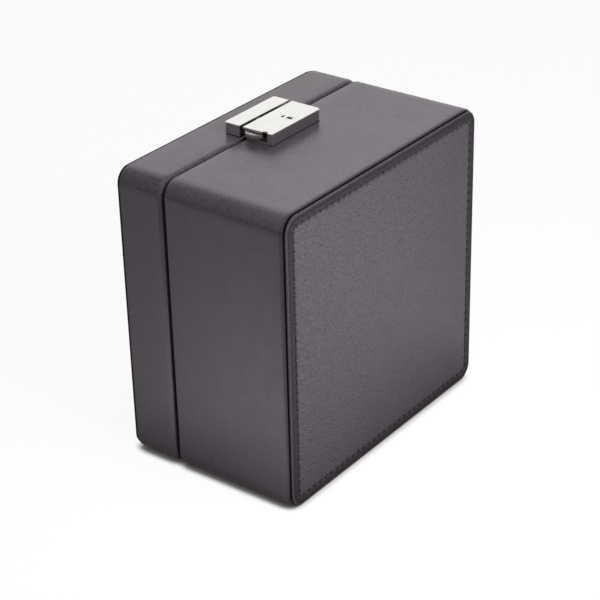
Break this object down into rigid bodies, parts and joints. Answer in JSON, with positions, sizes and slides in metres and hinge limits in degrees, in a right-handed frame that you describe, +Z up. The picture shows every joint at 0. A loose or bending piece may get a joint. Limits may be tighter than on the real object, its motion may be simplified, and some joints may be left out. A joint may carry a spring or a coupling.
{
  "type": "leather watch box",
  "caption": "Upright leather-covered watch box with a hinged lid, a small nickel lock, stitched face panels and cushions in a divided, suede-lined base.",
  "frame": {"origin": "under the middle of the closed box, on the surface that it stands on", "axes": "+Z up towards the lock, -Y towards the stitched base face, +Y towards the lid, +X along the lock away from the thumb tab"},
  "size_m": [0.16, 0.101, 0.1632],
  "materials": {
    "wall_leather": "smooth charcoal black calf leather, satin",
    "panel_leather": "fine grained charcoal black calf leather, satin",
    "carcass_board": "bare fibreboard",
    "panel_board": "grey board",
    "lining_suede": "black suede cloth on card",
    "divider_suede": "board covered in black suede cloth",
    "cushion_suede": "soft black suede over foam",
    "pad_suede": "soft black suede over foam",
    "lock_nickel": "bright nickel plate",
    "lock_parts_steel": "nickel-plated steel",
    "key_steel": "turned nickel-plated steel",
    "spring_steel": "bright spring strip",
    "fastener_steel": "nickel-plated",
    "hinge_steel": "satin nickel-plated"
  },
  "bodies": {
    "base": {"base_carcass": "carcass_board", "base_leather": "wall_leather", "base_panel_board": "panel_board", "base_panel_leather": "panel_leather", "base_lining": "lining_suede", "divider_upright": "divider_suede", "divider_cross": "divider_suede", "watch_cushion_lower_left": "cushion_suede", "watch_cushion_lower_right": "cushion_suede", "watch_cushion_upper_left": "cushion_suede", "watch_cushion_upper_right": "cushion_suede", "lock_base_plate": "lock_parts_steel", "lock_case": "lock_nickel", "lock_rivets": "fastener_steel", "latch_spring": "spring_steel", "hinge_base_leaf_left": "hinge_steel", "hinge_base_leaf_right": "hinge_steel", "hinge_pin_left": "hinge_steel", "hinge_pin_right": "hinge_steel", "hinge_base_screws": "fastener_steel"},
    "slide": {"thumb_slide": "lock_parts_steel"},
    "key": {"key_cylinder": "key_steel", "key_cam": "key_steel"},
    "lid": {"lid_carcass": "carcass_board", "lid_leather": "wall_leather", "lid_panel_board": "panel_board", "lid_panel_leather": "panel_leather", "lid_lining": "lining_suede", "lid_pad": "pad_suede", "hasp_bar": "lock_nickel", "hasp_hook": "lock_parts_steel", "hasp_rivets": "fastener_steel", "hinge_lid_leaf_left": "hinge_steel", "hinge_lid_leaf_right": "hinge_steel", "hinge_lid_screws": "fastener_steel"}
  },
  "joints": [
    {"name": "lid_hinge", "type": "hinge", "parent": "base", "child": "lid", "pos_m": [0, 0.0218, 0.0018], "axis": [-1, 0, 0], "range_deg": [0, 95]},
    {"name": "thumb_slide_travel", "type": "slide", "parent": "base", "child": "slide", "axis": [1, 0, 0], "range_m": [0, 0.0025], "stiffness_N_per_m": 500, "springref_m": -0.0016, "deforming": ["latch_spring"]},
    {"name": "key_turn", "type": "hinge", "parent": "base", "child": "key", "pos_m": [0.0029, 0.009, 0.1612], "axis": [0, 0, 1], "range_deg": [0, 90]}
  ]
}
